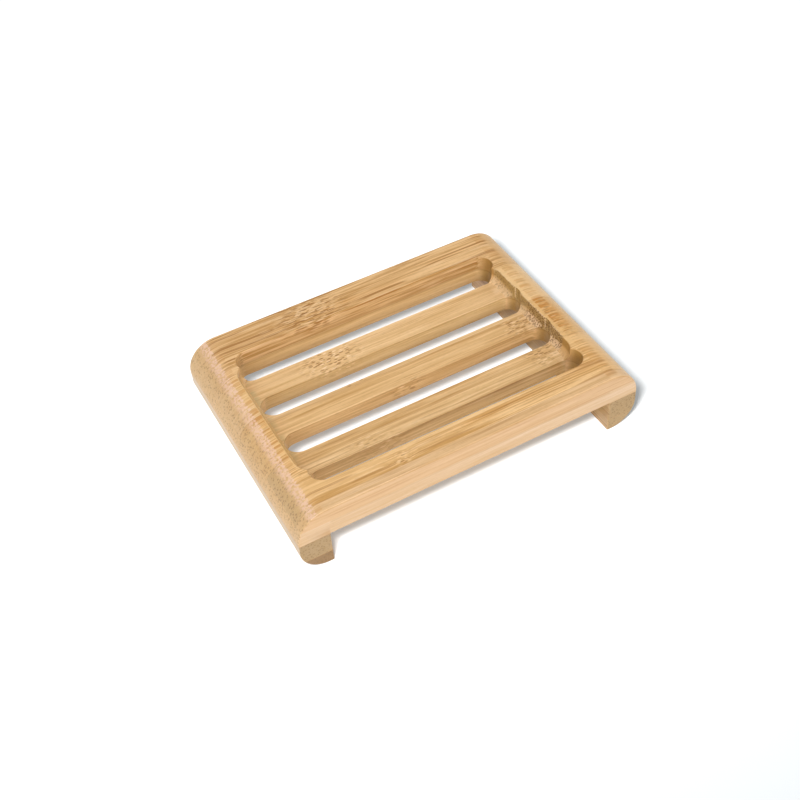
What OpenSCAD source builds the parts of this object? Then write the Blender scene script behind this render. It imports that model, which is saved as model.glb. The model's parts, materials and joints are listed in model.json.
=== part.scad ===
// Slatted soap dish: a tray of bamboo laths glued in two layers, on two cross feet.
// Lengths are in millimetres. X runs along the dish, Y from its front to its back and Z up.
// The origin is the middle of the footprint, on the surface that the dish stands on.

/* [Tray] */
// Length of the dish from end to end
dish_l = 120; // [100:1:180]
// Width of a full bamboo lath
lath_w = 20.6; // [19.5:0.1:23]
// Width of the narrow lath that finishes the front edge of the upper layer
edge_lath_w = 3.4; // [2.5:0.1:7]
// Thickness of the upper layer of laths, which is also the depth of the soap recess
upper_t = 5.4; // [4.5:0.1:8]
// Thickness of the lower layer of laths
lower_t = 5.4; // [4.5:0.1:8]
// Distance from a seam of the upper layer back to the same seam of the lower layer
seam_step = 0.6; // [0.3:0.1:1.2]
// Radius of the round on both ends of the tray
end_r = 10.6; // [4:0.1:12]
// Radius that takes the sharpness off the long edges
ease_r = 0.5; // [0.2:0.1:1.2]

/* [Soap recess] */
// Wood left between the recess and each end of the tray, with the recess in the middle
end_wall = 11.2; // [9:0.1:20]
// How far the recess sits left of the tray's middle
recess_left = 1.3; // [0:0.1:2]
// Radius of the recess's corners, seen from above
recess_corner_r = 7; // [5:0.1:9]
// Radius of the cove between the recess's floor and its end walls
cove_r = 3.2; // [1.5:0.1:4]
// Depth of the cove's circle below the floor, which gives the cove a crisp foot
cove_drop = 0.3; // [0.1:0.05:0.6]

/* [Drainage slots] */
// Width of a slot
slot_w = 8.7; // [6:0.1:10]
// How much closer together the slots lie than the seams between the laths
slots_closer = 2.45; // [1.6:0.05:3.4]
// How far a slot's tips stop short of the recess's end walls, with the recess in the middle
slot_short = 0.65; // [0.4:0.05:4]
// How far the slots and the recess sit in front of the tray's middle
slots_forward = 0.6; // [0:0.1:1.5]

/* [Feet] */
// Width of a cross foot, along the dish
foot_w = 10.4; // [9.5:0.1:16]
// Thickness of a foot's upper lath
foot_upper_t = 7.8; // [5:0.1:10]
// Thickness of a foot's lower lath
foot_lower_t = 5; // [4:0.1:8]
// Radius of the round on a foot's outer bottom edge
foot_r = 9; // [4:0.1:9.2]

/* [Hidden] */
$fn = 96;
// Number of full laths side by side in a layer
lath_count = 4;
slot_count = 4;
// Overrun of every cut past the face that it opens
cut_over = 1;
dish_w = lath_count * lath_w + edge_lath_w;
foot_h = foot_upper_t + foot_lower_t;
tray_t = lower_t + upper_t;
dish_h = foot_h + tray_t;
// Height of the glue line between the layers, which is the recess's floor
floor_z = foot_h + lower_t;
// The end round stays inside the tray's own thickness
end_round_r = min(end_r, tray_t);
// The foot's round leaves at least a narrow flat to stand on
foot_round_r = min(foot_r, foot_w - ease_r);
recess_l = dish_l - 2 * end_wall;
// Length of a slot between the tips of its round ends
slot_l = recess_l - 2 * slot_short;
slot_pitch = lath_w - slots_closer;
// The recess's long sides run along the middle of the outer slots
recess_w = (slot_count - 1) * slot_pitch;
// Height of the cove's circle above the recess's floor
cove_rise = cove_r - cove_drop;
// Reach of the cove's circle at the floor
cove_foot = sqrt(cove_r * cove_r - cove_rise * cove_rise);

// Y of the seam behind lath k, counted from the back. Seam 0 is the back edge of the tray,
// and the seam after the narrow lath is its front edge.
function upper_seam(k) = k > lath_count ? -dish_w / 2 : dish_w / 2 - k * lath_w;
function lower_seam(k) = k == 0 || k > lath_count ? upper_seam(k) : upper_seam(k) + seam_step;

// Y of slot k's middle line, counted from the back
function slot_y(k) = ((slot_count - 1) / 2 - k) * slot_pitch - slots_forward;

// Extrudes an outline drawn in X and Z along Y, centred
module across(width) {
    rotate([90, 0, 0])
        linear_extrude(width, center = true)
            children();
}

// Extrudes an outline drawn in Y and Z along X, centred
module along(length) {
    rotate([90, 0, 90])
        linear_extrude(length, center = true)
            children();
}

// What a round of radius r removes from an outer corner, whose circle is centred at the origin
module corner_waste(r) {
    difference() {
        square(r + cut_over);
        circle(r);
    }
}

// Outline of the whole dish seen from the front
module front_outline() {
    difference() {
        translate([-dish_l / 2, 0])
            square([dish_l, dish_h]);
        for (side = [0, 1])
            mirror([side, 0]) {
                translate([dish_l / 2 - end_round_r, dish_h - end_round_r])
                    corner_waste(end_round_r);
                translate([dish_l / 2 - foot_round_r, foot_round_r])
                    mirror([0, 1])
                        corner_waste(foot_round_r);
            }
    }
}

// Outline of the whole dish seen from one end
module end_outline() {
    difference() {
        translate([-dish_w / 2, 0])
            square([dish_w, dish_h]);
        for (side = [0, 1])
            mirror([side, 0]) {
                translate([dish_w / 2 - ease_r, dish_h - ease_r])
                    corner_waste(ease_r);
                translate([dish_w / 2 - ease_r, ease_r])
                    mirror([0, 1])
                        corner_waste(ease_r);
            }
    }
}

// Outer shape of the dish, which every lath is cut from
module outer_shape() {
    intersection() {
        across(dish_w) front_outline();
        along(dish_l) end_outline();
    }
}

// The piece of the outer shape between two X, two Y and two Z planes
module piece(x, y, z) {
    intersection() {
        outer_shape();
        translate([x[0], y[0], z[0]])
            cube([x[1] - x[0], y[1] - y[0], z[1] - z[0]]);
    }
}

// The drainage slots, cut through both layers
module slots() {
    for (k = [0 : slot_count - 1])
        translate([0, slot_y(k), foot_h - cut_over])
            linear_extrude(tray_t + 2 * cut_over)
                union() {
                    square([slot_l - slot_w, slot_w], center = true);
                    for (side = [-1, 1])
                        translate([side * (slot_l - slot_w) / 2, 0])
                            circle(d = slot_w);
                }
}

// Section of the recess from its middle out to a wall at distance reach, drawn from the floor up
module recess_section(reach) {
    union() {
        translate([0, -cut_over])
            square([reach - cove_r + cove_foot, upper_t + 2 * cut_over]);
        translate([0, cove_rise])
            square([reach, upper_t - cove_rise + cut_over]);
        intersection() {
            translate([reach - cove_r, cove_rise])
                circle(cove_r);
            square([reach, cove_r]);
        }
    }
}

// The soap recess: a long tray with coved ends and round corners
module recess() {
    translate([-recess_left, -slots_forward, floor_z])
        for (side = [0, 1])
            mirror([side, 0, 0]) {
                across(recess_w - 2 * recess_corner_r)
                    recess_section(recess_l / 2);
                translate([0, -recess_w / 2, -cut_over])
                    cube([recess_l / 2 - recess_corner_r, recess_w, upper_t + 2 * cut_over]);
                for (turn = [0, 1])
                    mirror([0, turn, 0])
                        translate([recess_l / 2 - recess_corner_r, recess_w / 2 - recess_corner_r])
                            rotate_extrude(angle = 90)
                                recess_section(recess_corner_r);
            }
}

// Lath k of the upper layer, counted from the back, between two X planes
module upper_lath(k, x = [-dish_l / 2, dish_l / 2]) {
    difference() {
        piece(x, [upper_seam(k + 1), upper_seam(k)], [floor_z, dish_h]);
        slots();
        recess();
    }
}

// Lath k of the lower layer, counted from the back
module lower_lath(k) {
    difference() {
        piece([-dish_l / 2, dish_l / 2], [lower_seam(k + 1), lower_seam(k)], [foot_h, floor_z]);
        slots();
    }
}

// One lath of a foot, on the side given by -1 for left and 1 for right
module foot_lath(side, z) {
    x = side < 0 ? [-dish_l / 2, foot_w - dish_l / 2] : [dish_l / 2 - foot_w, dish_l / 2];
    piece(x, [-dish_w / 2, dish_w / 2], z);
}

left_half = [-dish_l / 2, 0];
right_half = [0, dish_l / 2];

module upper_back_lath() { color([0.83, 0.66, 0.42]) upper_lath(0); }
module upper_second_lath_left() { color([0.87, 0.71, 0.50]) upper_lath(1, left_half); }
module upper_second_lath_right() { color([0.86, 0.70, 0.48]) upper_lath(1, right_half); }
module upper_third_lath_left() { color([0.85, 0.67, 0.43]) upper_lath(2, left_half); }
module upper_third_lath_right() { color([0.82, 0.63, 0.38]) upper_lath(2, right_half); }
module upper_front_lath() { color([0.84, 0.67, 0.42]) upper_lath(3); }
module upper_edge_lath() { color([0.89, 0.74, 0.55]) upper_lath(4); }
module lower_back_lath() { color([0.80, 0.63, 0.41]) lower_lath(0); }
module lower_second_lath() { color([0.88, 0.71, 0.49]) lower_lath(1); }
module lower_third_lath() { color([0.86, 0.69, 0.46]) lower_lath(2); }
module lower_front_lath() { color([0.85, 0.68, 0.45]) lower_lath(3); }
module lower_edge_lath() { color([0.90, 0.76, 0.59]) lower_lath(4); }
module left_foot_upper_lath() { color([0.77, 0.63, 0.44]) foot_lath(-1, [foot_lower_t, foot_h]); }
module left_foot_lower_lath() { color([0.68, 0.51, 0.34]) foot_lath(-1, [0, foot_lower_t]); }
module right_foot_upper_lath() { color([0.75, 0.61, 0.42]) foot_lath(1, [foot_lower_t, foot_h]); }
module right_foot_lower_lath() { color([0.77, 0.63, 0.43]) foot_lath(1, [0, foot_lower_t]); }

upper_back_lath();
upper_second_lath_left();
upper_second_lath_right();
upper_third_lath_left();
upper_third_lath_right();
upper_front_lath();
upper_edge_lath();
lower_back_lath();
lower_second_lath();
lower_third_lath();
lower_front_lath();
lower_edge_lath();
left_foot_upper_lath();
left_foot_lower_lath();
right_foot_upper_lath();
right_foot_lower_lath();
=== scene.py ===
"""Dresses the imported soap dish: bamboo laths with eased edges, grain, knots and end grain, on a pale stage.

The tray is machined as one board, as the real one is: the ends are rounded, the slots and the recess are cut
and their rims eased. The board is then sawn into its laths along the glue lines, so the grain of each lath is
its own and every edge runs on across the seams. Lengths are in metres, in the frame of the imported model. The
bamboo's marks are laid out in the same frame, in millimetres.
"""

import json
from functools import partialmethod
from math import radians
from typing import NamedTuple

import bmesh
import bpy
from bpy.props import FloatProperty, FloatVectorProperty, PointerProperty
from mathutils import Euler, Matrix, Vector


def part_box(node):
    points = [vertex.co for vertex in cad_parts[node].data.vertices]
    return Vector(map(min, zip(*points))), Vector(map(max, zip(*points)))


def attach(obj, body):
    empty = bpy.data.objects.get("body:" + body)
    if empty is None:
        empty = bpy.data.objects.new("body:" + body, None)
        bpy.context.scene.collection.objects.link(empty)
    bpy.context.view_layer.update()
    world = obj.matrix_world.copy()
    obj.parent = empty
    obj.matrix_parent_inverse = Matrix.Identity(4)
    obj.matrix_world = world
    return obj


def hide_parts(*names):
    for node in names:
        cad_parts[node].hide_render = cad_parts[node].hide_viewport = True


bl_info = {
    "name": "Bamboo soap dish",
    "version": (1, 0, 0),
    "blender": (4, 5, 0),
    "location": "3D View > Sidebar > Soap Dish",
    "description": "Models a slatted soap dish of glued bamboo laths, with its finish and a stage",
    "category": "Add Mesh",
}

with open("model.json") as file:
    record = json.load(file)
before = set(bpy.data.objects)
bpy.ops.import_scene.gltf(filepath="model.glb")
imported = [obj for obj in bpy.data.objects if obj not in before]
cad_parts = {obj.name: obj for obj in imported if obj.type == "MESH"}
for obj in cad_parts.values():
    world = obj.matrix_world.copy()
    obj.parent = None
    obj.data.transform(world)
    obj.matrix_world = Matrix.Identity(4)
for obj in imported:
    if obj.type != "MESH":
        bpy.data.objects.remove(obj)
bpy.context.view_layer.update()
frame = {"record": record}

MM = 0.001
X, Y, Z = 0, 1, 2

UPPER_LATHS = (
    "upper_back_lath",
    "upper_second_lath_left",
    "upper_second_lath_right",
    "upper_third_lath_left",
    "upper_third_lath_right",
    "upper_front_lath",
    "upper_edge_lath",
)
LOWER_LATHS = (
    "lower_back_lath",
    "lower_second_lath",
    "lower_third_lath",
    "lower_front_lath",
    "lower_edge_lath",
)
LEFT_FOOT = ("left_foot_upper_lath", "left_foot_lower_lath")
RIGHT_FOOT = ("right_foot_upper_lath", "right_foot_lower_lath")

SLOT_COUNT = 4
# Height of the recess's floor, which is the glue line between the tray's layers
FLOOR_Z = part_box("upper_back_lath")[0].z

# Two points closer than this are one point
SAME = 0.002 * MM
# A step that keeps two faces out of one plane and is too small to see
HAIR = 10 * SAME
# How far a cutter, a rim's cutter and a saw run past the face that they open
CUT_OVER = 1 * MM
RIM_OVER = 0.3 * MM
SAW_OVER = 2 * MM

# Steps in the round of a slot's tip, a corner of the recess, its cove, the tray's ends, a foot, an eased edge
# and a finely eased edge
TIP_STEPS = 16
CORNER_STEPS = 18
COVE_STEPS = 10
END_STEPS = 36
FOOT_STEPS = 30
EASE_STEPS = 4
FINE_EASE_STEPS = 3

# An edge that turns by more than this is a ridge, and one that turns by more than the other is shaded sharp
RIDGE_ANGLE = radians(25)
SHARP_ANGLE = radians(50)
# How strongly the large faces rule the shading beside them
FLAT_WEIGHT = 80


def box_around(nodes):
    """Lowest and highest corner of several CAD nodes together."""
    corners = [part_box(node) for node in nodes]
    low = Vector(min(corner[0][axis] for corner in corners) for axis in (X, Y, Z))
    high = Vector(max(corner[1][axis] for corner in corners) for axis in (X, Y, Z))
    return low, high


def linear(red, green, blue):
    """A colour given by its display values from 0 to 255, as the shader wants it."""
    shown = (red / 255, green / 255, blue / 255)
    return tuple(
        value / 12.92 if value <= 0.04045 else ((value + 0.055) / 1.055) ** 2.4 for value in shown)


def length(name, description, millimetres):
    """A length that the sidebar shows."""
    return FloatProperty(name=name, description=description, default=millimetres * MM, unit="LENGTH")


class DishSizes(bpy.types.PropertyGroup):
    """Sizes of the machined shapes, which the frame's boxes don't hold."""

    end_radius: length("End radius", "Round on both ends of the tray", 10.6)
    slot_width: length("Slot width", "Width of a drainage slot", 8.7)
    slot_length: length("Slot length", "Length of a slot between its round tips", 96.3)
    slot_pitch: length("Slot pitch", "Distance from one slot to the next", 18.15)
    slots_forward: length("Slots forward", "How far the slots and the recess sit in front of the middle", 0.6)
    recess_length: length("Recess length", "Length of the soap recess", 97.6)
    recess_left: length("Recess left", "How far the recess sits left of the middle", 1.3)
    recess_corner: length("Recess corner", "Radius of the recess's corners from above", 7)
    cove_radius: length("Cove radius", "Cove between the recess's floor and walls", 3.2)
    cove_drop: length("Cove drop", "Depth of the cove's circle below the floor", 0.3)
    foot_radius: length("Foot radius", "Round on a foot's outer bottom edge", 9)
    edge_ease: length("Edge easing", "Radius sanded onto the long outer edges", 0.5)
    rim_ease: length("Rim easing", "Easing of the slots' rims on the recess's floor", 0.2)
    top_rim_ease: length("Top rim easing", "Easing of the recess's and the outer slots' top rims", 0.35)
    underside_rim_ease: length("Underside rim easing", "Easing of the slots' rims under the tray", 0.05)


def colour(name, description, red, green, blue):
    """A colour that the sidebar shows."""
    return FloatVectorProperty(
        name=name, description=description, default=linear(red, green, blue), size=3, min=0, max=1,
        subtype="COLOR")


class DishColours(bpy.types.PropertyGroup):
    """Colours of the bamboo. The first eight go by the record's material slots."""

    streaky_bamboo: colour("Streaky bamboo", "Back laths, full of brown streaks", 215, 171, 114)
    plain_bamboo: colour("Plain bamboo", "Ends of the second lath", 222, 180, 123)
    dashed_bamboo: colour("Dashed bamboo", "Ends of the third lath, short dark dashes", 219, 174, 112)
    golden_bamboo: colour("Golden bamboo", "Front laths, yellow with fine lines", 222, 178, 118)
    pale_bamboo: colour("Pale bamboo", "Narrow laths of the front edge", 219, 179, 128)
    knotted_bamboo: colour("Knotted bamboo", "Bars of the recess's floor, smooth with a knot", 227, 187, 132)
    foot_bamboo: colour("Foot bamboo", "Laths of the feet", 214, 178, 136)
    dark_foot_bamboo: colour("Dark foot bamboo", "Lower lath of the left foot", 196, 152, 108)
    end_grain: colour("End grain", "Sawn fibre ends", 205, 168, 118)
    # Pale scuffed fibres with a painted highlight over them
    scuffed_edge: colour("Scuffed edge", "Rough pale fibres where the left end turns down", 233, 195, 172)
    glue_line: colour("Glue line", "Thin line between two laths", 178, 132, 82)
    floor: colour("Floor", "Paper under the dish", 243, 243, 243)


# Modelling by hand


def activate(thing):
    """Selects one object and nothing else."""
    bpy.ops.object.select_all(action="DESELECT")
    thing.select_set(True)
    bpy.context.view_layer.objects.active = thing


def block(name, low, high):
    """A solid box between two corners, with its place in its mesh."""
    bpy.ops.object.select_all(action="DESELECT")
    low, high = Vector(low), Vector(high)
    bpy.ops.mesh.primitive_cube_add(size=1, location=(low + high) / 2, scale=high - low)
    bpy.ops.object.transform_apply(location=True, rotation=True, scale=True)
    made = bpy.context.active_object
    made.name = name
    return made


def twin(thing, name):
    """A copy of a solid, with its own mesh."""
    activate(thing)
    bpy.ops.object.duplicate(linked=False)
    copy = bpy.context.active_object
    copy.name = name
    return copy


def pick_edges(thing, wanted):
    """Enters edit mode and selects the edges that a test picks. Returns how many there are."""
    activate(thing)
    bpy.ops.object.mode_set(mode="EDIT")
    bpy.ops.mesh.select_mode(type="EDGE")
    bpy.ops.mesh.select_all(action="DESELECT")
    work = bmesh.from_edit_mesh(thing.data)
    picked = 0
    for edge in work.edges:
        if wanted(edge):
            edge.select_set(True)
            picked += 1
    bmesh.update_edit_mesh(thing.data)
    return picked


def merge_doubles():
    """Joins the points of the mesh in edit mode that lie in one place."""
    bpy.ops.mesh.select_all(action="SELECT")
    bpy.ops.mesh.remove_doubles(threshold=SAME)


def ease(thing, wanted, radius, steps):
    """Rounds the edges that a test picks, or chamfers them where there is one step."""
    if not pick_edges(thing, wanted):
        raise RuntimeError(f"{thing.name}: no edge to ease")
    bpy.ops.mesh.bevel(offset=radius, segments=steps, profile=0.5, affect="EDGES", clamp_overlap=False)
    merge_doubles()
    bpy.ops.object.mode_set(mode="OBJECT")


def slice_block(thing, point, normal, keep_below=False):
    """Cuts a plain convex block with a plane. The part beyond it goes only where keep_below is set."""
    activate(thing)
    bpy.ops.object.mode_set(mode="EDIT")
    bpy.ops.mesh.select_mode(type="VERT")
    bpy.ops.mesh.select_all(action="SELECT")
    bpy.ops.mesh.bisect(
        plane_co=point, plane_no=normal, use_fill=keep_below, clear_outer=keep_below, threshold=SAME / 10)
    bpy.ops.object.mode_set(mode="OBJECT")


def carve(thing, tools, operation="DIFFERENCE"):
    """Cuts a solid with several others in one go, so that no cut works on another's rounded-off result."""
    group = bpy.data.collections.new("tools")
    for tool in tools:
        group.objects.link(tool)
    modifier = thing.modifiers.new("cut", "BOOLEAN")
    modifier.operation = operation
    modifier.solver = "EXACT"
    modifier.operand_type = "COLLECTION"
    modifier.collection = group
    activate(thing)
    bpy.ops.object.modifier_apply(modifier=modifier.name)
    bpy.data.collections.remove(group)


def discard(things):
    """Deletes objects that have done their work."""
    for thing in things:
        bpy.data.objects.remove(thing)


def reaches(tool, low, high):
    """True where a tool's box overlaps the box between two corners."""
    points = [Vector(corner) for corner in tool.bound_box]
    return all(
        min(point[axis] for point in points) < high[axis] and max(point[axis] for point in points) > low[axis]
        for axis in (X, Y, Z))


def ends(edge):
    """The places of an edge's two ends."""
    return edge.verts[0].co, edge.verts[1].co


def lies_on(edge, axis, *values):
    """True for an edge that lies in one of the planes at some values of an axis."""
    return any(all(abs(point[axis] - value) < SAME for point in ends(edge)) for value in values)


def is_upright(edge):
    """True for an edge that rises. The cutters' other edges are level."""
    first, second = ends(edge)
    return abs(first.z - second.z) > SAME


def is_ridge(edge):
    """True for an outward edge that turns by more than a soft curve's step."""
    return len(edge.link_faces) == 2 and edge.is_convex and edge.calc_face_angle(0) > RIDGE_ANGLE


def is_foot_of_cove(edge):
    """True for the inward edge where a wall or a cove rises from the recess's floor."""
    return lies_on(edge, Z, FLOOR_Z) and not edge.is_convex


def smooth(thing):
    """Smooth shading that keeps flat faces flat, rounds the small chamfers and keeps crisp edges crisp."""
    activate(thing)
    bpy.ops.object.shade_smooth_by_angle(angle=SHARP_ANGLE)
    if pick_edges(thing, is_foot_of_cove):
        bpy.ops.mesh.mark_sharp()
    bpy.ops.object.mode_set(mode="OBJECT")
    modifier = thing.modifiers.new("flat faces", "WEIGHTED_NORMAL")
    modifier.keep_sharp = True
    modifier.weight = FLAT_WEIGHT
    bpy.ops.object.modifier_apply(modifier=modifier.name)


# The machined board


class Plan(NamedTuple):
    """A rectangle with round corners, seen from above."""

    middle: Vector
    half: Vector
    corner: float
    steps: int

    def grown(self, by):
        """The plan with its outline moved outwards."""
        return Plan(self.middle, self.half + Vector((by, by)), self.corner + by, self.steps)


def slot_plan(sizes, number):
    """The plan of a slot, counted from the back."""
    middle = Vector((0, ((SLOT_COUNT - 1) / 2 - number) * sizes.slot_pitch - sizes.slots_forward))
    half = Vector((sizes.slot_length / 2, sizes.slot_width / 2))
    return Plan(middle, half, sizes.slot_width / 2, TIP_STEPS)


def recess_plan(sizes):
    """The plan of the recess, whose long sides run along the middle of the outer slots."""
    middle = Vector((-sizes.recess_left, -sizes.slots_forward))
    half = Vector((sizes.recess_length / 2, (SLOT_COUNT - 1) / 2 * sizes.slot_pitch))
    return Plan(middle, half, sizes.recess_corner, CORNER_STEPS)


def plug(name, plan, low_z, high_z):
    """An upright prism over a plan, between two heights."""
    made = block(name, (*(plan.middle - plan.half), low_z), (*(plan.middle + plan.half), high_z))
    ease(made, is_upright, plan.corner, plan.steps)
    return made


def rim_plug(name, plan, mouth_z, rise, chamfer):
    """A prism that opens out by a chamfer towards its mouth, up for a rise of 1 and down for -1."""
    base_z = mouth_z - rise * chamfer
    past_z = mouth_z + rise * RIM_OVER
    made = plug(name, plan.grown(chamfer), min(base_z, past_z), max(base_z, past_z))
    # The chamfer runs on a hair past the wall, so that the two don't share an outline
    ease(made, lambda edge: lies_on(edge, Z, base_z), chamfer + HAIR, 1)
    return made


def floor_rim_plug(sizes, plan):
    """The cutter that eases a slot's rim on the recess's floor. It ends where the cove begins to rise."""
    cove_rise = sizes.cove_radius - sizes.cove_drop
    cove_reach = sizes.cove_radius - (sizes.cove_radius ** 2 - cove_rise ** 2) ** 0.5
    made = rim_plug("floor rim", plan, FLOOR_Z, 1, sizes.rim_ease)
    flat_plan = recess_plan(sizes).grown(-cove_reach)
    flat = plug("flat floor", flat_plan, FLOOR_Z - CUT_OVER, FLOOR_Z + RIM_OVER / 3)
    carve(made, [flat], "INTERSECT")
    discard([flat])
    return made


def slot_tools(sizes, number, low, high):
    """Cutters for a slot, counted from the back: its hole and its rims on the floor, below and on top."""
    plan = slot_plan(sizes, number)
    tools = [
        plug("slot", plan, low.z - CUT_OVER, high.z + CUT_OVER),
        floor_rim_plug(sizes, plan),
        rim_plug("underside rim", plan, low.z, -1, sizes.underside_rim_ease),
    ]
    if number in (0, SLOT_COUNT - 1):
        tools.append(rim_plug("top rim", plan, high.z, 1, sizes.top_rim_ease))
    return tools


def recess_tools(sizes, high):
    """Cutters for the recess, with its round corners and a cove that the floor cuts off, and for its rim."""
    plan = recess_plan(sizes)
    bottom_z = FLOOR_Z - sizes.cove_drop
    hollow = plug("recess", plan, bottom_z, high.z + CUT_OVER)
    ease(hollow, lambda edge: lies_on(edge, Z, bottom_z), sizes.cove_radius, COVE_STEPS)
    slice_block(hollow, (0, 0, FLOOR_Z), (0, 0, -1), keep_below=True)
    return [hollow, rim_plug("recess rim", plan, high.z, 1, sizes.top_rim_ease)]


def rounded_board(sizes, low, high):
    """The tray's outer form: round ends and eased long edges, before anything is cut into it."""
    foot_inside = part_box("right_foot_upper_lath")[0].x
    board = block("board", low, high)
    for x in (-foot_inside, foot_inside):
        slice_block(board, (x, 0, 0), (1, 0, 0))

    def is_top_end(edge):
        return lies_on(edge, Z, high.z) and lies_on(edge, X, low.x, high.x)

    def is_side_ridge(edge):
        return lies_on(edge, Y, low.y, high.y) and is_ridge(edge)

    def is_upper_ridge(edge):
        return is_side_ridge(edge) and not lies_on(edge, Z, low.z)

    def is_lower_ridge_between_feet(edge):
        between_feet = all(abs(point.x) < foot_inside + SAME for point in ends(edge))
        return between_feet and is_side_ridge(edge) and lies_on(edge, Z, low.z)

    ease(board, is_top_end, sizes.end_radius, END_STEPS)
    ease(board, is_upper_ridge, sizes.edge_ease, EASE_STEPS)
    ease(board, is_lower_ridge_between_feet, sizes.rim_ease, FINE_EASE_STEPS)
    return board


def saw_tools(node, low, high):
    """Blocks that take away all of the board but one lath. Sides that are the board's own stay whole."""
    lath_low, lath_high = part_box(node)
    # A lath that the recess parts in two is sawn in the middle of the recess
    lath_low.x = 0 if node.endswith("_right") else low.x
    lath_high.x = 0 if node.endswith("_left") else high.x
    # The layers part just above the recess's floor, so that no sawn face lies in the floor's plane
    if node in UPPER_LATHS:
        lath_low.z += HAIR / 2
    else:
        lath_high.z += HAIR / 2
    over = Vector((SAW_OVER, SAW_OVER, SAW_OVER))
    tools = []
    for axis in (X, Y, Z):
        if lath_low[axis] > low[axis] + SAME:
            far = high + over
            far[axis] = lath_low[axis]
            tools.append(block("saw", low - over, far))
        if lath_high[axis] < high[axis] - SAME:
            near = low - over
            near[axis] = lath_high[axis]
            tools.append(block("saw", near, high + over))
    return tools


def finish_piece(piece, node):
    """Shades a piece, gives it its bamboo and puts it in its CAD node's place."""
    activate(piece)
    bpy.ops.object.mode_set(mode="EDIT")
    merge_doubles()
    bpy.ops.object.mode_set(mode="OBJECT")
    smooth(piece)
    slot = next(part["material_slot"] for part in frame["record"]["subparts"] if part["node"] == node)
    piece.data.materials.clear()
    piece.data.materials.append(bamboo(node, slot))
    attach(piece, "root")
    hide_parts(node)


# Bamboo


class Wiring:
    """Joins up the shader nodes of one material, lamp or world."""

    def __init__(self, owner):
        owner.use_nodes = True
        self.tree = owner.node_tree
        self.tree.nodes.clear()

    def add(self, kind, values=(), **settings):
        """A new node, with its sockets fed in order from a tuple or by name or number from a dictionary."""
        made = self.tree.nodes.new(kind)
        for name, setting in settings.items():
            setattr(made, name, setting)
        for socket, value in enumerate(values) if isinstance(values, tuple) else values.items():
            self.feed(made.inputs[socket], value)
        return made

    def feed(self, socket, value):
        if isinstance(value, bpy.types.NodeSocket):
            self.tree.links.new(value, socket)
        else:
            socket.default_value = value

    def math(self, operation, *values):
        return self.add("ShaderNodeMath", values, operation=operation).outputs[0]

    plus = partialmethod(math, "ADD")
    minus = partialmethod(math, "SUBTRACT")
    most = partialmethod(math, "MAXIMUM")
    # The size of a number without its sign
    size = partialmethod(math, "ABSOLUTE")
    # The product of two values, and a third value added to it
    times_plus = partialmethod(math, "MULTIPLY_ADD")

    def times(self, product, *factors):
        for factor in factors:
            product = self.math("MULTIPLY", product, factor)
        return product

    def vector(self, operation, *values):
        return self.add("ShaderNodeVectorMath", values, operation=operation).outputs[0]

    # A vector with each part scaled, then shifted
    stretched = partialmethod(vector, "MULTIPLY_ADD")

    def grow(self, vector, factor):
        """A vector times one number."""
        return self.add("ShaderNodeVectorMath", {0: vector, 3: factor}, operation="SCALE").outputs[0]

    def length(self, vector):
        return self.add("ShaderNodeVectorMath", (vector,), operation="LENGTH").outputs["Value"]

    def parts(self, vector):
        return self.add("ShaderNodeSeparateXYZ", (vector,)).outputs

    def join(self, x, y, z):
        return self.add("ShaderNodeCombineXYZ", (x, y, z)).outputs[0]

    def step(self, value, start, end):
        """0 before start, 1 after end and a soft step between them. Start may be the larger."""
        ranges = (value, start, end, 0.0, 1.0)
        return self.add("ShaderNodeMapRange", ranges, interpolation_type="SMOOTHSTEP").outputs[0]

    def noise(self, place, detail=2.0, roughness=0.5):
        values = {"Vector": place, "Scale": 1.0, "Detail": detail, "Roughness": roughness}
        return self.add("ShaderNodeTexNoise", values).outputs

    def cells(self, place):
        """Distance to the nearest of many scattered points."""
        return self.add("ShaderNodeTexVoronoi", {"Vector": place, "Scale": 1.0}).outputs["Distance"]

    def blend(self, share, first, second):
        """A mix of two colours, by a share of the second."""
        made = self.add("ShaderNodeMix", {0: share, 6: first, 7: second}, data_type="RGBA", clamp_factor=True)
        return made.outputs[2]


def tuned(shade, factors):
    """A colour with its channels scaled, for a darker or paler relative of it."""
    return (*(min(1.0, channel * factor) for channel, factor in zip(shade, factors)), 1.0)


# How a colour's darker and paler relatives differ from it, in linear red, green and blue
DARKER = (0.76, 0.67, 0.50)
PALER = (1.16, 1.23, 1.42)
BROWN = (0.56, 0.42, 0.25)
ORANGE = (0.92, 0.74, 0.48)
YELLOW = (0.97, 0.93, 0.74)
# Painted shade at the foot of the left cove
PAINTED_COVE_SHADE = (0.76, 0.86, 0.86)
# Pale marks in the wood, and the painted highlights at the foot of the right cove
WHITISH = (1.20, 1.34, 1.75)

# Marks painted over the lath's own colour: how they differ from it and how much they cover
PAINTS = {
    "sanded": ((1.05, 1.08, 1.15), 0.8),
    "end strip": (YELLOW, 0.3),
    "dark rungs": ((0.76, 0.54, 0.28), 0.75),
    "pale rungs": (WHITISH, 0.35),
    "brown lines": (BROWN, 1.0),
    "pale lines": (WHITISH, 0.8),
    "flecks": ((0.48, 0.35, 0.20), 1.0),
    "glints": (WHITISH, 1.0),
}
# Smooth tips and coves: those at the left end are painted lighter than those at the right, as painted light
LIT_LEFT_END_TIP = (0.99, 1.02, 0.98)
DIM_RIGHT_END_TIP = (0.90, 0.88, 0.84)
PORE = (0.42, 0.32, 0.20)
# Painted shade on the slots' right tips and the upper right cove, and a thin darker line under the floor
PAINTED_TIP_SHADE = (0.64, 0.59, 0.37)
DARK_LINE_TONE = (0.70, 0.64, 0.50)
DARK_LINE_SHARE = 0.6

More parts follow.
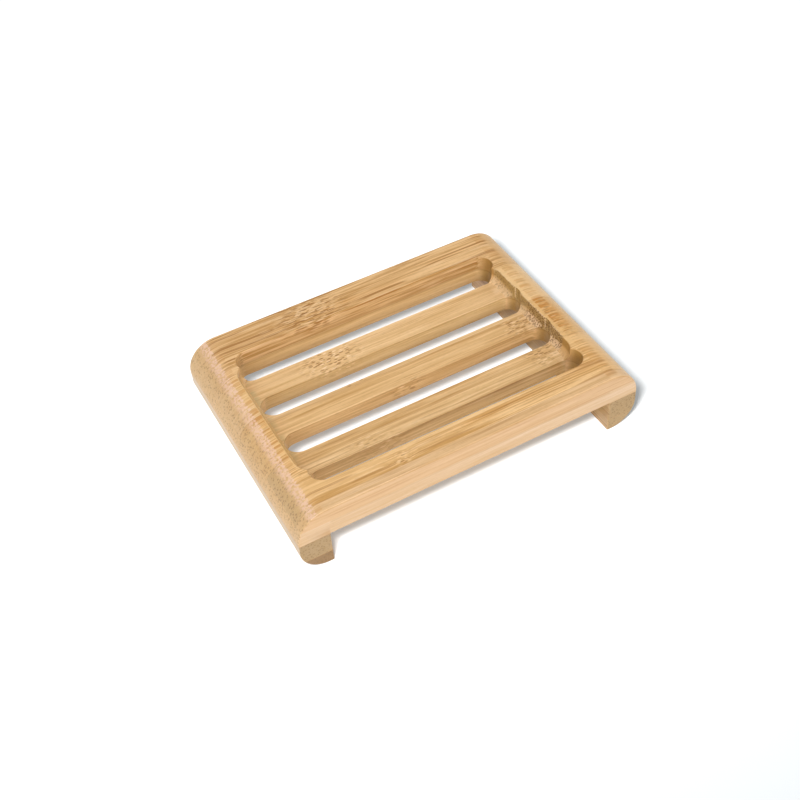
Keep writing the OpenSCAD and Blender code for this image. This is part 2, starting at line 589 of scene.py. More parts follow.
# Noise drawn out along the fibres: its density along and across them per millimetre, its shift and its
# roughness
MARKS = {
    "broad tones": (0.010, 0.25, 3, 0.5),
    "long streaks": (0.012, 1.5, 7, 0.6),
    "short streaks": (0.045, 1.2, 13, 0.6),
    "fine fibres": (0.05, 2.4, 11, 0.5),
    "tint breaks": (0.03, 0.7, 19, 0.5),
    "brown lines": (0.012, 1.15, 23, 0.5),
    "brown breaks": (0.05, 0.8, 29, 0.5),
    "pale lines": (0.014, 1.25, 31, 0.5),
    "pale breaks": (0.05, 0.8, 37, 0.5),
}
# Other noises and scattered cells, by their density along X, Y and Z per millimetre
DRIFT_DENSITY = (0.03, 0.09, 0.04)
SWIRL_DENSITY = (0.13, 0.18, 0.18)
RUNG_DENSITY = (0.06, 1.15, 0)
SPECKLE_DENSITY = (0.8, 2.6, 2.6)
SCUFF_HIGHLIGHT_DENSITY = (1.3, 1.3, 1.3)
PORE_DENSITY = 1.15
ROUGH_NOISE = 0.6
# The middle of what a noise gives, which runs from 0 to 1
MIDDLE = 0.5
# How far fibres swerve everywhere and at a knot, in millimetres
DRIFT = 0.9
SWIRL = 5
# Sets each lath's noises apart from the next lath's
SEED_STEP = Vector((17.31, 41.77, 29.53))
# How much a mark changes with its depth below the top, on the end rounds and elsewhere
DEPTH_ON_ROUNDS = 0.15
DEPTH_IN_FULL = 0.9

# How strongly broad tones, streaks and fine fibres change the lath's tone
BROAD_CONTRAST = 0.6
BROAD_CONTRAST_BY_STREAKS = 0.8
STREAK_CONTRAST = 1.3
FINE_CONTRAST = 2.5

# Where the strips beside the recess's ends start, from the middle of the dish in millimetres
LEFT_STRIP_X = 50.7
RIGHT_STRIP_X = 49.2
# How much of the thin lines is sanded away there
SANDED_AWAY = 0.8
# The part of a darker or paler wall that has its full strength
WALL_CORE_SHARE = 0.75
# The dashes' density across the fibres. The glints are longer and lie apart from the dashes
FLECK_DENSITY = (1.35, 0.9)
GLINT_DENSITY = (1.25, 0.9)
GLINT_SHARE = 0.8
GLINT_SHIFT = 1.3

# Cut fibre ends: how far the right end is smoothed, how much their tone and their pores cover, and the pores'
# stretch along X and soft edge
RIGHT_END_SMOOTHED = 0.3
END_TONE_SHARE = 0.8
FACE_PORE_SHARE = 0.15
PORE_STRETCH = 0.4
PORE_EDGE = 0.16

# How much a downward face counts towards the tips' painted shade, and the dark line's depth under the floor
DOWNWARD_SHARE = 1.1
DARK_LINE_DEPTH = 0.35
# Share of the scuffed fibres and their painted highlight
SCUFF_HIGHLIGHT_SHARE = 0.62
# How far the line of scuffs and painted highlight strays, in millimetres
SCUFF_HIGHLIGHT_STRAY = 2.0
GLUE_SHARE = 0.6

# The lacquer's roughness and the relief under it, on the face, on streaks and on cut ends
FACE_ROUGHNESS = 0.40
STREAK_ROUGHNESS = 0.12
END_ROUGHNESS = 0.06
STREAK_RELIEF = 0.3
FINE_RELIEF = 0.4
FACE_PORE_RELIEF = 0.15
END_PORE_RELIEF = 0.35
RELIEF_STRENGTH = 0.4
RELIEF_DEPTH = 0.05 * MM
LACQUER_IOR = 1.46

# Soft steps of the finish: where each starts and where it is complete, which may lie before its start. Marks
# and shares run from 0 to 1, and the rest is in millimetres
STEPS = {
    # Parts of a face's normal
    "turned sideways": (0.5, 0.8),
    "fully sideways": (0.6, 0.9),
    "turned upright": (0.6, 0.3),
    "cut across": (0.2, 0.8),
    "turned in": (0.35, 0.95),
    # Places along X, from the middle of the dish
    "right half": (-1, 1),
    "marks in full": (50.5, 49),
    "strip's right end": (53.6, 52.6),
    "right round": (51.8, 53.2),
    "left round": (-52.4, -54.4),
    "right end": (49.5, 51),
    "tips and cove": (51, 50.5),
    "right tips": (38, 40),
    "under the floor": (49.5, 48.8),
    "scuffs' inner side": (-52.5, -52.9),
    "scuffs' outer side": (-56.4, -54.6),
    # Places beside the recess
    "along the recess": (25, 21),
    "strip's start": (-0.2, 0.2),
    "sanded strip's start": (-2.6, -1.8),
    "sanded strip's end": (0.4, -0.2),
    "dark line": (0.4, 0.15),
    # Strengths of marks
    "streaks": (0.38, 0.62),
    "dark rungs": (0.51, 0.55),
    "pale rungs": (0.46, 0.42),
    "tint breaks": (0.3, 0.62),
    "brown lines": (0.55, 0.60),
    "brown breaks": (0.4, 0.6),
    "pale lines": (0.57, 0.62),
    "pale breaks": (0.42, 0.6),
    "flecks": (0.42, 0.30),
    "glints": (0.34, 0.2),
    "scuff_highlight_patches": (0.34, 0.56),
    # Distances from a patch's middle, as a share of its reach
    "inside a patch": (1.0, 0.25),
    # Distances from a seam
    "glue line": (0.256, 0.064),
    "glue line below": (0.384, 0.224),
}


class Look(NamedTuple):
    """What a lath shows, with lengths in millimetres in the dish's frame.

    Streaks and lines are long marks, and pores are the fibre ends. A knot has its middle, its reach along
    X, Y and Z and its strength. Flecks have the same and the density of their dashes along the fibres. A tint
    has its middle, its reach, how it differs from the lath and its strength. The whitish tints at the foot of
    the right cove are painted highlights, and the tints at the foot of the left cove are painted shade. A wall
    has its Y, its reach and how the upright faces there differ: painted shade on the slots' walls and on
    the right foot under the tray, paler fronts on the edge laths and a greyer left foot.
    """

    streaks: float = 0.55
    lines: float = 0.35
    fine: float = 0.35
    pores: float = 0.5
    pore_width: float = 0.4
    pore_density: float = 1.0
    end_contrast: float = 0.5
    inner_ends: float = 0.1
    face: tuple = (1, 1, 1)
    ends: tuple = (1, 1, 1)
    knots: tuple = ()
    flecks: tuple = ()
    tints: tuple = ()
    walls: tuple = ()


LOOKS = {
    "upper_back_lath": Look(
        streaks=1.2, lines=0.9, fine=0.8, end_contrast=0.45,
        ends=(1.02, 1.06, 1.15),
        knots=(((-17, 37, 23), (17, 8, 7), 1.4),),
        flecks=(((-16, 36, 23), (15, 9, 6), 1.2, 0.22), ((-20, 35, 23), (24, 7, 4), 0.8, 0.16)),
        tints=(
            ((-36, 37, 24), (26, 8, 2), (0.86, 0.78, 0.68), 0.6),
            ((-5, 34.5, 24), (30, 3, 2), ORANGE, 0.35),
            ((-12, 31, 21), (9, 1.0, 1.2), WHITISH, 0.8),
            ((26, 31, 20), (7, 1.0, 0.8), WHITISH, 0.7),
        ),
        # Painted shade on the first slot's walls
        walls=((27, 4.6, (0.76, 0.76, 0.70)),),
    ),
    "upper_second_lath_left": Look(
        end_contrast=0.9,
        ends=(1.02, 1.06, 1.18),
        tints=(((-52, 12, 23), (6, 8, 9), YELLOW, 0.5),),
    ),
    "upper_second_lath_right": Look(
        face=(1.05, 1.07, 1.10),
        ends=(1.00, 1.12, 1.35),
        end_contrast=0.5, inner_ends=0.7, pores=0.6, pore_width=0.46,
        # Painted highlight at the foot of the right cove
        tints=(((46.4, 12, 18.4), (2.0, 14, 1.3), WHITISH, 0.5),),
        flecks=(((47, 20, 20), (3, 5, 4), 0.8, 0.5),),
    ),
    "upper_third_lath_left": Look(end_contrast=1.0),
    "upper_third_lath_right": Look(
        end_contrast=1.3,
        ends=(1.18, 1.30, 1.68),
        inner_ends=1.0, pores=1.0, pore_width=0.56, pore_density=1.6,
        tints=(
            ((52, -8, 23), (4, 11, 3), ORANGE, 0.75),
            # Painted highlight at the foot of the right cove
            ((46.4, -8, 18.4), (2.0, 14, 1.3), WHITISH, 0.7),
        ),
        flecks=(((51, -7, 23.6), (3, 12, 3), 0.5, 0.3),),
    ),
    "upper_front_lath": Look(
        streaks=0.95, lines=0.7, fine=0.7, end_contrast=0.45,
        ends=(0.84, 0.87, 0.90),
        knots=(((-22, -36.5, 23), (8, 4, 6), 0.7),),
        flecks=(((-22, -37, 23), (4, 4, 4), 0.8, 0.4), ((-38, -37.5, 23), (3, 1.5, 4), 0.6, 0.3)),
        tints=(
            ((12, -35, 23), (20, 2, 4), ORANGE, 0.45),
            ((46, -34, 23), (14, 3, 4), ORANGE, 0.25),
            ((-42, -34, 23), (26, 9, 6), (0.90, 0.86, 0.78), 0.6),
        ),
    ),
    "upper_edge_lath": Look(
        streaks=0.45, lines=0.4, fine=0.3,
        walls=((-42.9, 0.4, (1.07, 1.20, 1.42)),),
    ),
    "lower_back_lath": Look(streaks=0.35, lines=0.2, fine=0.3, face=(0.98, 1.06, 1.08)),
    "lower_second_lath": Look(
        streaks=0.4, lines=0.2, fine=0.3,
        # Painted shade on the second slot's far wall
        walls=((12.825, 0.4, (0.86, 0.88, 0.80)),),
        tints=(
            # Painted highlight at the foot of the right cove
            ((45.0, 12, 18.2), (2.6, 14, 2), WHITISH, 0.6),
            # Painted shade at the foot of the left cove
            ((-48.4, 13, 18.2), (2.6, 40, 2), PAINTED_COVE_SHADE, 0.9),
        ),
        knots=(((-19, 17.5, 18), (14, 8, 6), 0.5),),
        flecks=(((-19, 17.5, 18), (15, 8, 6), 1.0, 0.42), ((-17, 3.6, 18), (5, 1.6, 3), 1.0, 0.4)),
    ),
    "lower_third_lath": Look(
        streaks=0.55, lines=0.35, fine=0.4,
        face=(0.92, 0.88, 0.80),
        # Painted shade on the third slot's far wall
        walls=((-5.325, 0.4, (0.95, 0.96, 0.95)),),
        tints=(
            # Painted highlight at the foot of the right cove
            ((45.0, -8, 18.2), (2.6, 14, 2), WHITISH, 0.8),
            # Painted shade at the foot of the left cove
            ((-48.4, -8, 18.2), (2.6, 40, 2), PAINTED_COVE_SHADE, 0.7),
        ),
        knots=(((-3, -6, 16), (9, 4, 5), 0.5),),
        flecks=(
            ((41, -0.6, 18), (9, 8, 4), 0.8, 0.4),
            ((41, -16, 18), (8, 5, 4), 0.8, 0.4),
            ((-3, -5.4, 16), (8, 3, 5), 0.7, 0.3),
        ),
    ),
    "lower_front_lath": Look(
        face=(1.07, 1.14, 1.28),
        # Painted shade on the fourth slot's far wall
        walls=((-23.475, 0.4, (0.86, 0.87, 0.78)),),
        tints=(
            # Painted shade at the foot of the left cove
            ((-48.4, -22, 18.2), (2.6, 40, 2), PAINTED_COVE_SHADE, 0.3),
            # Painted highlight at the foot of the right cove
            ((45.0, -20, 18.2), (2.6, 8, 2), WHITISH, 0.6),
        ),
        streaks=0.45, lines=0.45, fine=0.4,
        knots=(((-22, -22.5, 16), (12, 5, 5), 0.8),),
        flecks=(
            ((-26, -21, 18), (8, 4, 4), 0.5, 0.35),
            ((-18, -23.5, 16), (8, 1.5, 5), 0.4, 0.25),
            ((41, -20, 18), (7, 4, 4), 0.6, 0.4),
        ),
    ),
    "lower_edge_lath": Look(
        streaks=0.4, lines=0.2, fine=0.3,
        face=(1.04, 1.13, 1.26),
        walls=((-42.9, 0.4, (1.09, 1.28, 1.62)),),
    ),
    "left_foot_upper_lath": Look(
        streaks=0.5, lines=0.25, pores=0.4,
        ends=(0.485, 0.475, 0.37),
        walls=((0, 60, (0.84, 0.92, 1.02)),),
    ),
    "left_foot_lower_lath": Look(streaks=0.5, lines=0.25, pores=0.25, ends=(0.27, 0.24, 0.145)),
    "right_foot_upper_lath": Look(
        streaks=0.6, lines=0.3, pores=0.45, pore_width=0.42,
        ends=(0.53, 0.54, 0.49),
        # Painted shade on the foot's upright faces under the tray
        walls=((-10, 40, (0.68, 0.65, 0.46)),),
    ),
    "right_foot_lower_lath": Look(
        streaks=0.5, lines=0.25, pores=0.45, pore_width=0.42,
        ends=(0.53, 0.54, 0.48),
        # Painted shade on the foot's upright faces under the tray
        walls=((-10, 40, (0.68, 0.67, 0.54)),),
    ),
}


class Bamboo(Wiring):
    """The bamboo of one lath, with fibres along X in the tray and along Y in the feet."""

    def __init__(self, node, slot):
        self.material = bpy.data.materials.new(node + "_bamboo")
        super().__init__(self.material)
        self.look = LOOKS[node]
        self.colours = bpy.context.scene.dish_colours
        own = getattr(self.colours, slot)
        self.main = [channel * factor for channel, factor in zip(own, self.look.face)]
        cut = self.colours.end_grain
        self.end_grain = [channel * factor for channel, factor in zip(cut, self.look.ends)]
        self.in_foot = node in LEFT_FOOT + RIGHT_FOOT
        self.in_upper_layer = node in UPPER_LATHS
        self.low, self.high = (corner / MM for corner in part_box(node))
        self.seed = SEED_STEP * (list(LOOKS).index(node) + 1)
        source = self.add("ShaderNodeTexCoord")
        self.place = self.grow(source.outputs["Object"], 1 / MM)
        self.x, self.y, self.z = self.parts(self.place)
        self.off_middle = self.size(self.x)
        self.facing = self.parts(source.outputs["Normal"])
        self.on_wall = self.soft(self.size(self.facing[Z]), "turned upright")
        self.on_side = self.soft(self.size(self.facing[Y]), "turned sideways")
        self.off_side = self.minus(1.0, self.on_side)
        self.grain = self.lay_grain()
        self.bent = self.bend_grain()
        self.fine = self.marks("fine fibres")
        self.streaks = self.mark_streaks()
        self.rungs = self.noise(self.stretched(self.place, RUNG_DENSITY, self.seed), 1)[0]

    def soft(self, value, name):
        return self.step(value, *STEPS[name])

    def patch(self, middle, reach):
        """1 in the middle of an ellipsoid, 0 outside it."""
        from_middle = self.vector("SUBTRACT", self.place, middle)
        return self.soft(self.length(self.vector("DIVIDE", from_middle, reach)), "inside a patch")

    def paint(self, shade, share, name):
        """A shade with one of the paints over it."""
        factors, cover = PAINTS[name]
        return self.blend(self.times(share, cover), shade, tuned(self.main, factors))

    def stain(self, shade, share, factors):
        """A shade with its channels scaled where the share says."""
        return self.blend(share, shade, self.vector("MULTIPLY", shade, factors))

    def lay_grain(self):
        """The place on the lath with the fibres along X.

        The ends' marks hang down only a little on the rounds. The front and the back show the grain in full.
        """
        if self.in_foot:
            return self.join(self.y, self.x, self.z)
        in_full = self.soft(self.off_middle, "marks in full")
        depth_share = self.times_plus(in_full, DEPTH_IN_FULL - DEPTH_ON_ROUNDS, DEPTH_ON_ROUNDS)
        depth_share = self.most(depth_share, self.times(self.on_side, DEPTH_IN_FULL))
        depth = self.minus(self.z, self.high.z)
        return self.join(self.x, self.y, self.times(depth, depth_share))

    def swerve(self, density, reach, detail=2.0):
        """A push across the fibres that changes from place to place."""
        push = self.noise(self.stretched(self.grain, density, self.seed), detail)["Color"]
        push = self.vector("SUBTRACT", push, (MIDDLE, MIDDLE, MIDDLE))
        return self.vector("MULTIPLY", push, (0, reach, reach))

    def bend_grain(self):
        """The grain's place where fibres swerve, a little everywhere and strongly at a knot."""
        bent = self.vector("ADD", self.swerve(DRIFT_DENSITY, DRIFT), self.grain)
        for middle, reach, strength in self.look.knots:
            swirl = self.swerve(SWIRL_DENSITY, SWIRL * strength, detail=3)
            bent = self.vector("ADD", bent, self.grow(swirl, self.patch(middle, reach)))
        return bent

    def marks(self, name):
        """Noise drawn out along the fibres."""
        along, across, shift, roughness = MARKS[name]
        moved = self.seed + Vector((shift, 1.7 * shift, 2.3 * shift))
        return self.noise(self.stretched(self.bent, (along, across, across), moved), roughness=roughness)[0]

    def mark_streaks(self):
        long_streaks = self.soft(self.marks("long streaks"), "streaks")
        short_streaks = self.soft(self.marks("short streaks"), "streaks")
        return self.times(self.plus(long_streaks, short_streaks), 1 / 2)

    def toned(self):
        """The lath's own colour, in broad tones, streaks and fine fibres."""
        streaky = self.look.streaks
        layers = (
            (self.marks("broad tones"), BROAD_CONTRAST + BROAD_CONTRAST_BY_STREAKS * streaky),
            (self.streaks, STREAK_CONTRAST * streaky),
            (self.fine, FINE_CONTRAST * self.look.fine),
        )
        tone = MIDDLE
        for layer, contrast in layers:
            tone = self.times_plus(self.minus(layer, MIDDLE), contrast, tone)
        return self.blend(tone, tuned(self.main, DARKER), tuned(self.main, PALER))

    def beside_recess(self, shade):
        """Crisp dashes beside the recess's ends, where the surface runs out over the fibres.

        Right beside the recess and on the end rounds the wood is sanded smooth. Returns that share too.
        """
        right_half = self.soft(self.x, "right half")
        strip_start = self.times_plus(right_half, RIGHT_STRIP_X - LEFT_STRIP_X, LEFT_STRIP_X)
        past_start = self.minus(self.off_middle, strip_start)
        past_start = self.plus(past_start, self.minus(self.rungs, MIDDLE))
        before_round = self.times(self.soft(self.x, "strip's right end"), self.off_side)
        near_end = self.times(self.soft(past_start, "strip's start"), before_round, self.look.end_contrast)

        on_rounds = self.most(self.soft(self.x, "right round"), self.soft(self.x, "left round"))
        slots_forward = bpy.context.scene.dish_sizes.slots_forward / MM
        along_recess = self.soft(self.size(self.plus(self.y, slots_forward)), "along the recess")
        starts = self.soft(past_start, "sanded strip's start")
        before_end = self.soft(past_start, "sanded strip's end")
        sanded = self.most(on_rounds, self.times(before_end, starts, along_recess))
        sanded = self.times(sanded, self.off_side)

        shade = self.paint(shade, sanded, "sanded")
        shade = self.paint(shade, near_end, "end strip")
        for kind in ("dark rungs", "pale rungs"):
            shade = self.paint(shade, self.times(self.soft(self.rungs, kind), near_end), kind)
        return shade, sanded

    def tinted(self, shade):
        """Patches of another tint."""
        tints = self.look.tints
        if not tints:
            return shade
        breaks = self.soft(self.marks("tint breaks"), "tint breaks")
        for middle, reach, factors, strength in tints:
            share = self.times(self.patch(middle, reach), breaks, strength)
            shade = self.blend(share, shade, tuned(self.main, factors))
        return shade

    def walled(self, shade):
        """Painted shade on slot walls and the right foot; paler fronts on the edge laths and a greyer left
        foot.
        """
        for wall_y, reach, factors in self.look.walls:
            near = self.step(self.size(self.minus(self.y, wall_y)), reach, WALL_CORE_SHARE * reach)
            shade = self.stain(shade, self.times(near, self.on_wall), factors)
        return shade

    def lined(self, shade, sanded):
        """Thin brown and pale lines that start and stop, and fade where the wood is sanded."""
        lines = self.look.lines
        line_share = self.times_plus(sanded, -SANDED_AWAY * lines, lines)
        for kind in ("brown", "pale"):
            line, breaks = (self.soft(self.marks(kind + part), kind + part) for part in (" lines", " breaks"))
            shade = self.paint(shade, self.times(line, breaks, line_share), kind + " lines")
        return shade

    def flecked(self, shade):
        """Short dashes and glints around a knot."""
        for middle, reach, strength, along in self.look.flecks:
            patch = self.times(self.patch(middle, reach), strength)
            dashes = self.cells(self.stretched(self.grain, (along, *FLECK_DENSITY), self.seed))
            shade = self.paint(shade, self.times(patch, self.soft(dashes, "flecks")), "flecks")
            sparser = (GLINT_SHARE * along, *GLINT_DENSITY)
            glints = self.cells(self.stretched(self.grain, sparser, self.seed * GLINT_SHIFT))
            shade = self.paint(shade, self.times(patch, self.soft(glints, "glints")), "glints")
        return shade

    def cut_ends(self, shade):
        """Dull fibre ends with dark pores where fibres are cut across. Returns their share and the pores."""
        across_fibres = self.size(self.facing[Y if self.in_foot else X])
        if self.in_foot:
            end_share = self.soft(across_fibres, "cut across")
        else:
            # The right end is sanded smoother than the left
            smoothed = self.times(self.soft(self.x, "right end"), RIGHT_END_SMOOTHED)
            end_share = self.soft(self.minus(across_fibres, smoothed), "cut across")
            # The slots' tips and most of the cove are sanded smooth
            inside = self.soft(self.off_middle, "tips and cove")
            inner_smooth = self.times(inside, 1 - self.look.inner_ends)
            # Painted light: the left end's tips and cove are lighter than the right end's
            right_half = self.soft(self.x, "right half")
            tip = self.blend(right_half, tuned(self.main, LIT_LEFT_END_TIP), tuned(self.main, DIM_RIGHT_END_TIP))
            shade = self.blend(self.times(inner_smooth, end_share), shade, tip)
            end_share = self.times(end_share, self.minus(1.0, inner_smooth))
        cut_place = self.grain if self.in_foot else self.place
        speckle = self.noise(self.stretched(cut_place, SPECKLE_DENSITY, self.seed), roughness=ROUGH_NOISE)[0]
        end_tone = self.blend(speckle, tuned(self.end_grain, DARKER), tuned(self.end_grain, PALER))
        shade = self.blend(self.times(end_share, END_TONE_SHARE), shade, end_tone)
        dense = PORE_DENSITY * self.look.pore_density
        pores = self.cells(self.stretched(cut_place, (PORE_STRETCH * dense, dense, dense), self.seed))
        pores = self.step(pores, self.look.pore_width, self.look.pore_width - PORE_EDGE)
        pore_share = self.times_plus(end_share, 1 - FACE_PORE_SHARE, FACE_PORE_SHARE)
        pore_share = self.times(pore_share, self.look.pores)
        shade = self.blend(self.times(pores, pore_share), shade, tuned(self.end_grain, PORE))
        return shade, end_share, pores

    def browned_tips(self, shade):
        """Painted shade on the slots' right tips and the upper part of the right cove."""
        turned_in = self.times_plus(self.facing[Z], -DOWNWARD_SHARE, self.times(self.facing[X], -1.0))
        share = self.times(self.soft(turned_in, "turned in"), self.soft(self.x, "right tips"))
        return self.stain(shade, share, PAINTED_TIP_SHADE)

    def browned_line(self, shade):
        """A thin darker line on the slots' walls, just under the recess's floor."""
        from_line = self.size(self.minus(self.z, self.high.z - DARK_LINE_DEPTH))
        under_floor = self.soft(self.off_middle, "under the floor")
        on_line = self.soft(from_line, "dark line")
        share = self.times(on_line, self.on_wall, under_floor, DARK_LINE_SHARE)
        return self.stain(shade, share, DARK_LINE_TONE)

    def scuffed(self, shade):
        """Rough pale fibres with a painted highlight, along the line where the left end begins to turn down.
        """
        ragged = self.plus(self.x, self.times(self.minus(self.rungs, MIDDLE), SCUFF_HIGHLIGHT_STRAY))
        band = self.times(self.soft(ragged, "scuffs' inner side"), self.soft(ragged, "scuffs' outer side"))
        scuff_highlight_patches = self.noise(self.stretched(self.place, SCUFF_HIGHLIGHT_DENSITY, self.seed), roughness=ROUGH_NOISE)[0]
        share = self.times(band, self.soft(scuff_highlight_patches, "scuff_highlight_patches"), self.off_side, SCUFF_HIGHLIGHT_SHARE)
        return self.blend(share, shade, (*self.colours.scuffed_edge, 1.0))

    def glued(self, shade):
        """Thin glue lines where this lath meets the next ones."""
        seam = self.minus(self.z, self.high.z) if self.in_foot else self.minus(self.y, self.low.y)
        glue = self.soft(self.size(seam), "glue line")
        if self.in_upper_layer:
            below = self.soft(self.minus(self.z, self.low.z), "glue line below")
            below = self.times(below, self.soft(self.size(self.facing[Y]), "fully sideways"))
            glue = self.most(glue, below)
        return self.blend(self.times(glue, GLUE_SHARE), shade, (*self.colours.glue_line, 1.0))

    def lacquer(self, shade, end_share, pores):
        """Satin lacquer over slightly raised fibres."""
        rough = self.times_plus(self.streaks, STREAK_ROUGHNESS, FACE_ROUGHNESS)
        rough = self.times_plus(end_share, END_ROUGHNESS, rough)
        height = self.plus(self.times(self.streaks, STREAK_RELIEF), self.times(self.fine, FINE_RELIEF))
        pore_relief = self.times_plus(end_share, END_PORE_RELIEF, FACE_PORE_RELIEF)
        height = self.minus(height, self.times(pores, pore_relief))
        bump = self.add(
            "ShaderNodeBump", {"Strength": RELIEF_STRENGTH, "Distance": RELIEF_DEPTH, "Height": height})
        surface = self.add("ShaderNodeBsdfPrincipled", {
            "Base Color": shade, "Roughness": rough, "Normal": bump.outputs["Normal"], "IOR": LACQUER_IOR})
        self.add("ShaderNodeOutputMaterial", (surface.outputs["BSDF"],))


def bamboo(node, slot):
    """The bamboo of one lath, from its own colour up to the lacquer."""
    lath = Bamboo(node, slot)
    sanded = 0.0
    shade = lath.toned()
    if not lath.in_foot:
        shade, sanded = lath.beside_recess(shade)
    shade = lath.tinted(shade)
    shade = lath.walled(shade)
    shade = lath.lined(shade, sanded)
    shade = lath.flecked(shade)
    shade, end_share, pores = lath.cut_ends(shade)
    if not lath.in_foot:
        shade = lath.browned_tips(shade)
    if node in LOWER_LATHS:
        shade = lath.browned_line(shade)
    if not lath.in_foot:
        shade = lath.scuffed(shade)
    shade = lath.glued(shade)
    lath.lacquer(shade, end_share, pores)
    return lath.material


class DISH_OT_tray(bpy.types.Operator):
    """Machine the tray's board and saw it into the laths of its two layers"""

    bl_idname = "dish.tray"
    bl_label = "Tray laths"

    def execute(self, context):
        sizes = context.scene.dish_sizes
        low, high = box_around(UPPER_LATHS + LOWER_LATHS)
        board = rounded_board(sizes, low, high)
        cuts = recess_tools(sizes, high)
        for number in range(SLOT_COUNT):
            cuts += slot_tools(sizes, number, low, high)
        for node in UPPER_LATHS + LOWER_LATHS:
            lath = twin(board, node + "_wood")
            saws = saw_tools(node, low, high)
            lath_low, lath_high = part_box(node)
            lath_high.z += HAIR
            carve(lath, [cut for cut in cuts if reaches(cut, lath_low, lath_high)] + saws)
            discard(saws)
            finish_piece(lath, node)
        discard([board, *cuts])
        return {"FINISHED"}


class DISH_OT_feet(bpy.types.Operator):
    """Shape the two cross feet and saw each into its two laths"""

    bl_idname = "dish.feet"
    bl_label = "Cross feet"

    def execute(self, context):
        for nodes in (LEFT_FOOT, RIGHT_FOOT):
            foot = self.shape(context.scene.dish_sizes, nodes)
            upper, lower = nodes
            split_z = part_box(lower)[1].z
            for node, normal in ((upper, -1), (lower, 1)):
                lath = twin(foot, node + "_wood")
                slice_block(lath, (0, 0, split_z), (0, 0, normal), keep_below=True)
                finish_piece(lath, node)
            discard([foot])
        return {"FINISHED"}

    def shape(self, sizes, nodes):
        """One foot in one piece, with its rounded outer edge."""
        low, high = box_around(nodes)
        outer_x = low.x if low.x < 0 else high.x
        foot = block("foot", low, high)

        def is_outer_bottom(edge):
            return lies_on(edge, Z, low.z) and lies_on(edge, X, outer_x)

        def is_end_face(edge):
            return lies_on(edge, Y, low.y, high.y) and not lies_on(edge, Z, high.z)

        def is_inner_bottom(edge):
            return is_ridge(edge) and lies_on(edge, Z, low.z)

        ease(foot, is_outer_bottom, sizes.foot_radius, FOOT_STEPS)
        ease(foot, is_end_face, sizes.edge_ease, EASE_STEPS)
        ease(foot, is_inner_bottom, sizes.rim_ease, FINE_EASE_STEPS)
        return foot


# The stage

FLOOR_SIZE = 8
CAMERA_PLACE = Vector((-0.11891, -0.24669, 0.28763))
CAMERA_TURN = (radians(43.90), radians(3.48), radians(-28.67))
CAMERA_LENS = 53.22
SENSOR_WIDTH = 36
CLIP_START = 0.01

# The paper's share of its colour as the camera sees it, and the faint cool glow that makes it white there
PAPER_SHARE = (0.78, 0.78, 0.78)
PAPER_GLOW = (0.80, 0.93, 1.0, 1.0)
PAPER_GLOW_STRENGTH = 0.26

# The small lamp that throws the dish's shadow: its place from the camera, the way it looks, size and watts
FLOOR_LAMP_OFFSET = Vector((-0.0355, 0.0465, 0.0213))
FLOOR_LAMP_AHEAD = Vector((0.432, 0.898, -0.15))
FLOOR_LAMP_SIZE = 0.075
FLOOR_LAMP_WATTS = 24.5

# The softboxes that light the dish: place, side and watts. They all point at a place just over its middle
SOFTBOXES = {
    "overhead softbox": ((0.05, 0.1, 0.8), 0.9, 1.5),
    "front softbox": ((-0.15, -0.66, 0.54), 0.7, 5.0),
    "low front softbox": ((-0.45, -0.75, 0.18), 0.5, 3.2),
    "left softbox": ((-0.8, 0.1, 0.4), 0.6, 1.15),
    "right softbox": ((0.75, 0.1, 0.5), 0.6, 2.7),
    "back softbox": ((-0.40, 0.70, 0.74), 0.3, 2.0),
}
SOFTBOX_AIM = Vector((0, 0, 0.02))
# Strength of the white surroundings, as what lights the dish
SURROUNDINGS_DIM = 0.16


def lamp(name, place, aim, size, watts):
    """A square lamp that points from one place at another."""
    turn = (place - aim).to_track_quat("Z", "Y").to_euler()
    bpy.ops.object.light_add(type="AREA", location=place, rotation=turn)
    made = bpy.context.active_object
    made.name = name
    made.data.size = size
    made.data.energy = watts
    made.visible_camera = False
    return made


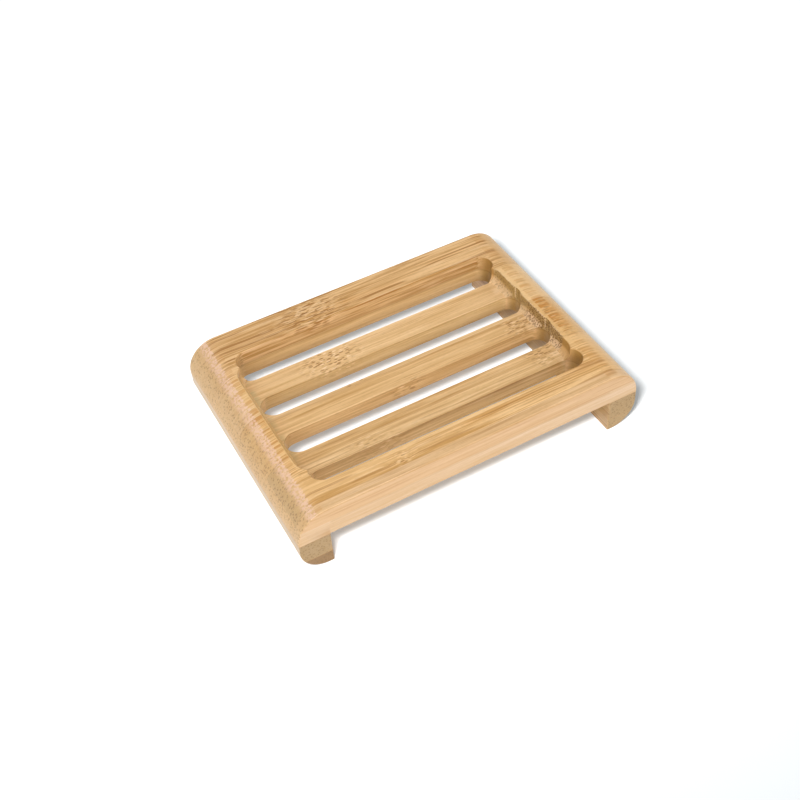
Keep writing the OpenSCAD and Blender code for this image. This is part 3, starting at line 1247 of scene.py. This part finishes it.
class DISH_OT_stage(bpy.types.Operator):
    """Set the floor, the lights and the camera"""

    bl_idname = "dish.stage"
    bl_label = "Stage, lights and camera"

    def execute(self, context):
        scene = context.scene
        scene.view_settings.view_transform = "Standard"
        bpy.ops.object.select_all(action="DESELECT")
        bpy.ops.mesh.primitive_plane_add(size=FLOOR_SIZE, location=(0, 0, 0))
        floor = context.active_object
        floor.name = "floor"
        floor.data.materials.append(self.floor_paper(context))
        bpy.ops.object.camera_add(location=CAMERA_PLACE, rotation=Euler(CAMERA_TURN, "XYZ"))
        camera = context.active_object
        camera.data.lens = CAMERA_LENS
        camera.data.sensor_width = SENSOR_WIDTH
        camera.data.clip_start = CLIP_START
        scene.camera = camera
        self.lights(floor)
        self.surroundings(context)
        return {"FINISHED"}

    def floor_paper(self, context):
        """White paper that takes the floor lamp's shadow, and glows a little in what the camera sees."""
        paper_colour = context.scene.dish_colours.floor
        material = bpy.data.materials.new("floor_paper")
        wiring = Wiring(material)
        ray = wiring.add("ShaderNodeLightPath").outputs
        seen = wiring.most(ray["Is Camera Ray"], ray["Is Glossy Ray"])
        seen = wiring.most(seen, ray["Is Transmission Ray"])
        white = wiring.blend(seen, (*paper_colour, 1.0), tuned(paper_colour, PAPER_SHARE))
        paper = wiring.add("ShaderNodeBsdfDiffuse", {"Color": white})
        strength = wiring.times(seen, PAPER_GLOW_STRENGTH)
        glow = wiring.add("ShaderNodeEmission", {"Color": PAPER_GLOW, "Strength": strength})
        both = wiring.add("ShaderNodeAddShader", (paper.outputs[0], glow.outputs[0]))
        wiring.add("ShaderNodeOutputMaterial", (both.outputs[0],))
        return material

    def floor_lamp(self):
        """A small lamp just up and left of the camera, whose shadow shows along the dish's right and front.

        It looks almost level across the floor and doesn't fade with distance, so the floor is evenly lit.
        """
        place = CAMERA_PLACE + FLOOR_LAMP_OFFSET
        made = lamp("floor lamp", place, place + FLOOR_LAMP_AHEAD, FLOOR_LAMP_SIZE, FLOOR_LAMP_WATTS)
        wiring = Wiring(made.data)
        falloff = wiring.add("ShaderNodeLightFalloff", {"Strength": 1.0})
        glow = wiring.add("ShaderNodeEmission", {"Strength": falloff.outputs["Constant"]})
        wiring.add("ShaderNodeOutputLight", (glow.outputs[0],))
        return made

    def lights(self, floor):
        """The floor lamp lights the floor alone, and the softboxes light all but the floor."""
        only_floor = bpy.data.collections.new("lit floor")
        only_floor.objects.link(floor)
        all_but_floor = bpy.data.collections.new("lit dish")
        all_but_floor.objects.link(floor)
        all_but_floor.collection_objects[0].light_linking.link_state = "EXCLUDE"
        self.floor_lamp().light_linking.receiver_collection = only_floor
        for name, (place, size, watts) in SOFTBOXES.items():
            box = lamp(name, Vector(place), SOFTBOX_AIM, size, watts)
            box.light_linking.receiver_collection = all_but_floor

    def surroundings(self, context):
        """White surroundings for the camera, which light the dish only dimly."""
        world = bpy.data.worlds.new("studio")
        wiring = Wiring(world)
        ray = wiring.add("ShaderNodeLightPath").outputs
        strength = wiring.times_plus(ray["Is Camera Ray"], 1 - SURROUNDINGS_DIM, SURROUNDINGS_DIM)
        sky = wiring.add("ShaderNodeBackground", {"Color": (1, 1, 1, 1), "Strength": strength})
        wiring.add("ShaderNodeOutputWorld", (sky.outputs[0],))
        context.scene.world = world


class DISH_PT_panel(bpy.types.Panel):
    """The dish's sizes, its colours and the steps that make it"""

    bl_idname = "DISH_PT_panel"
    bl_label = "Soap dish"
    bl_space_type = "VIEW_3D"
    bl_region_type = "UI"
    bl_category = "Soap Dish"

    def draw(self, context):
        for group in (context.scene.dish_sizes, context.scene.dish_colours):
            for name in group.__annotations__:
                self.layout.prop(group, name)
        for step in OPERATORS:
            self.layout.operator(step.bl_idname)


OPERATORS = (DISH_OT_stage, DISH_OT_tray, DISH_OT_feet)
CLASSES = (DishSizes, DishColours, *OPERATORS, DISH_PT_panel)


def register():
    for made in CLASSES:
        bpy.utils.register_class(made)
    bpy.types.Scene.dish_sizes = PointerProperty(type=DishSizes)
    bpy.types.Scene.dish_colours = PointerProperty(type=DishColours)


def unregister():
    del bpy.types.Scene.dish_colours
    del bpy.types.Scene.dish_sizes
    for made in reversed(CLASSES):
        bpy.utils.unregister_class(made)


def main():
    register()
    bpy.ops.dish.stage()
    bpy.ops.dish.tray()
    bpy.ops.dish.feet()


if __name__ == "__main__":
    main()
